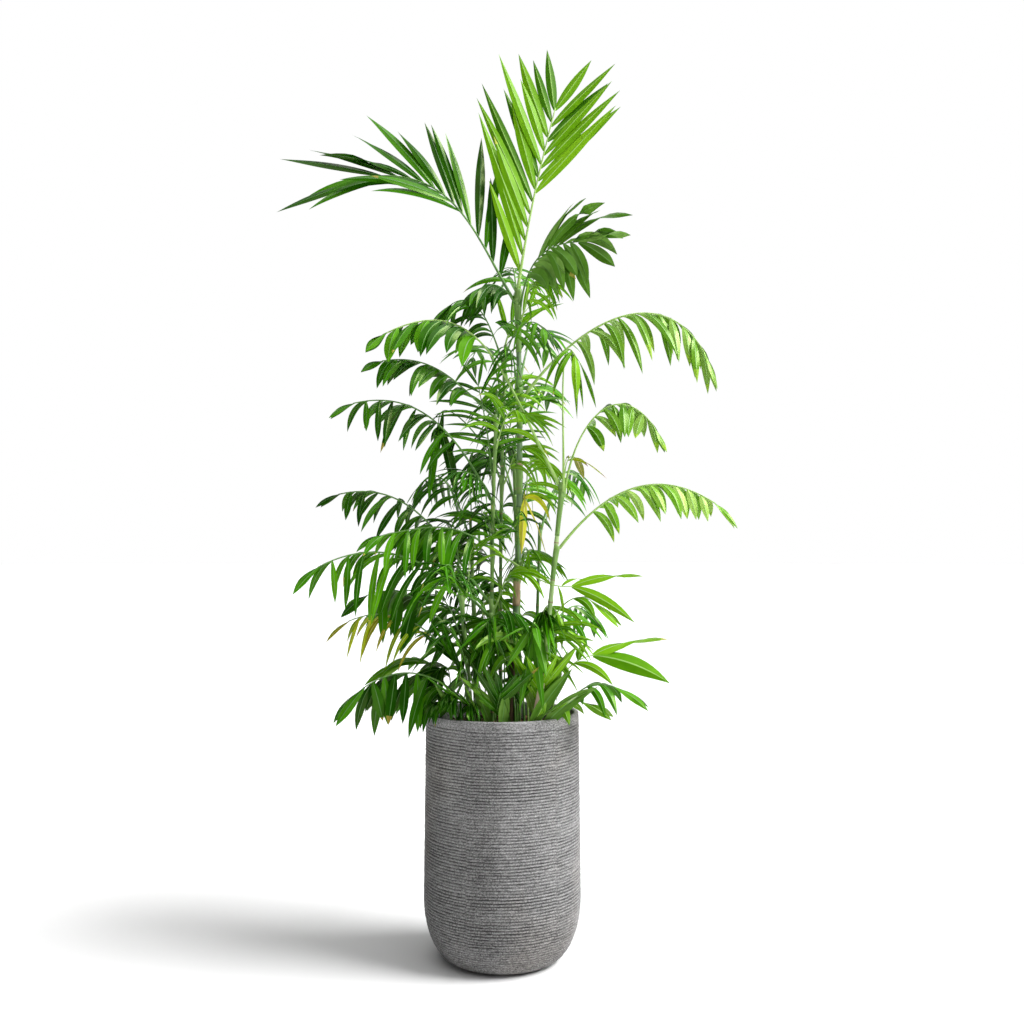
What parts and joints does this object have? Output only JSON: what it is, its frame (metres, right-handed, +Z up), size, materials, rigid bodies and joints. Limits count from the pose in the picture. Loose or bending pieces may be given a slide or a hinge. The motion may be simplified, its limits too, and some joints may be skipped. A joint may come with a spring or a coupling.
{
  "type": "potted bamboo palm",
  "caption": "Clump of slender canes with arching feathery fronds in a tall round-footed ribbed clay planter filled with soil.",
  "frame": {"origin": "centre of the planter's flat underside", "axes": "+Z up, +X to the right and +Y away, as the picture looks at it"},
  "size_m": [0.9523, 0.6508, 1.911],
  "materials": {
    "planter": "matt, gritty",
    "soil": "loose",
    "cane_pale": "waxy bloom",
    "cane": "satin",
    "leaf_dark": "satin",
    "leaf_mid": "satin",
    "leaf_bright": "satin",
    "leaf_light": "satin",
    "leaf_dry": "dry"
  },
  "bodies": {
    "root": {"planter": "planter", "soil": "soil", "cane_tall": "cane_pale", "cane_right": "cane_pale", "cane_left": "cane", "cane_centre": "cane", "cane_low_left": "cane", "cane_back": "cane", "cane_back_left": "cane", "cane_back_right": "cane", "frond_top_upright": "leaf_bright", "frond_top_left": "leaf_dark", "frond_top_right": "leaf_mid", "frond_top_front": "leaf_dark", "frond_top_back": "leaf_mid", "frond_crown_right": "leaf_light", "frond_crown_back": "leaf_mid", "frond_turning": "leaf_dry", "frond_crown_left": "leaf_mid", "frond_near_right": "leaf_bright", "frond_mid_right": "leaf_light", "frond_low_right": "leaf_light", "frond_right_blade": "leaf_bright", "frond_near_low": "leaf_mid", "frond_dry": "leaf_dry", "frond_upper_left": "leaf_dark", "frond_comb_left": "leaf_mid", "frond_mid_left": "leaf_dark", "frond_left_front": "leaf_mid", "frond_left_high": "leaf_dark", "frond_left_long": "leaf_mid", "frond_fork_right": "leaf_bright", "frond_spear": "leaf_bright", "frond_nod_front": "leaf_mid", "frond_nod_back": "leaf_mid", "frond_comb_right": "leaf_mid", "frond_inner_left": "leaf_dark", "frond_left_low": "leaf_dark", "frond_left_yellow": "leaf_dry", "frond_left_skirt": "leaf_dark", "frond_fan_front": "leaf_mid", "frond_inner_low": "leaf_mid", "frond_back_high": "leaf_mid", "frond_back_out": "leaf_dark", "frond_back_low": "leaf_mid", "frond_back_left_high": "leaf_dark", "frond_back_left_low": "leaf_mid", "frond_back_right_high": "leaf_mid", "frond_back_right_low": "leaf_mid", "frond_right_long": "leaf_bright", "frond_right_low": "leaf_mid", "frond_base_right": "leaf_bright", "frond_base_middle": "leaf_mid", "frond_base_left": "leaf_mid", "frond_base_out": "leaf_bright", "frond_base_tall": "leaf_mid", "frond_base_centre": "leaf_bright", "frond_base_fill": "leaf_mid", "frond_base_back": "leaf_mid", "frond_base_back_left": "leaf_mid"}
  },
  "joints": []
}
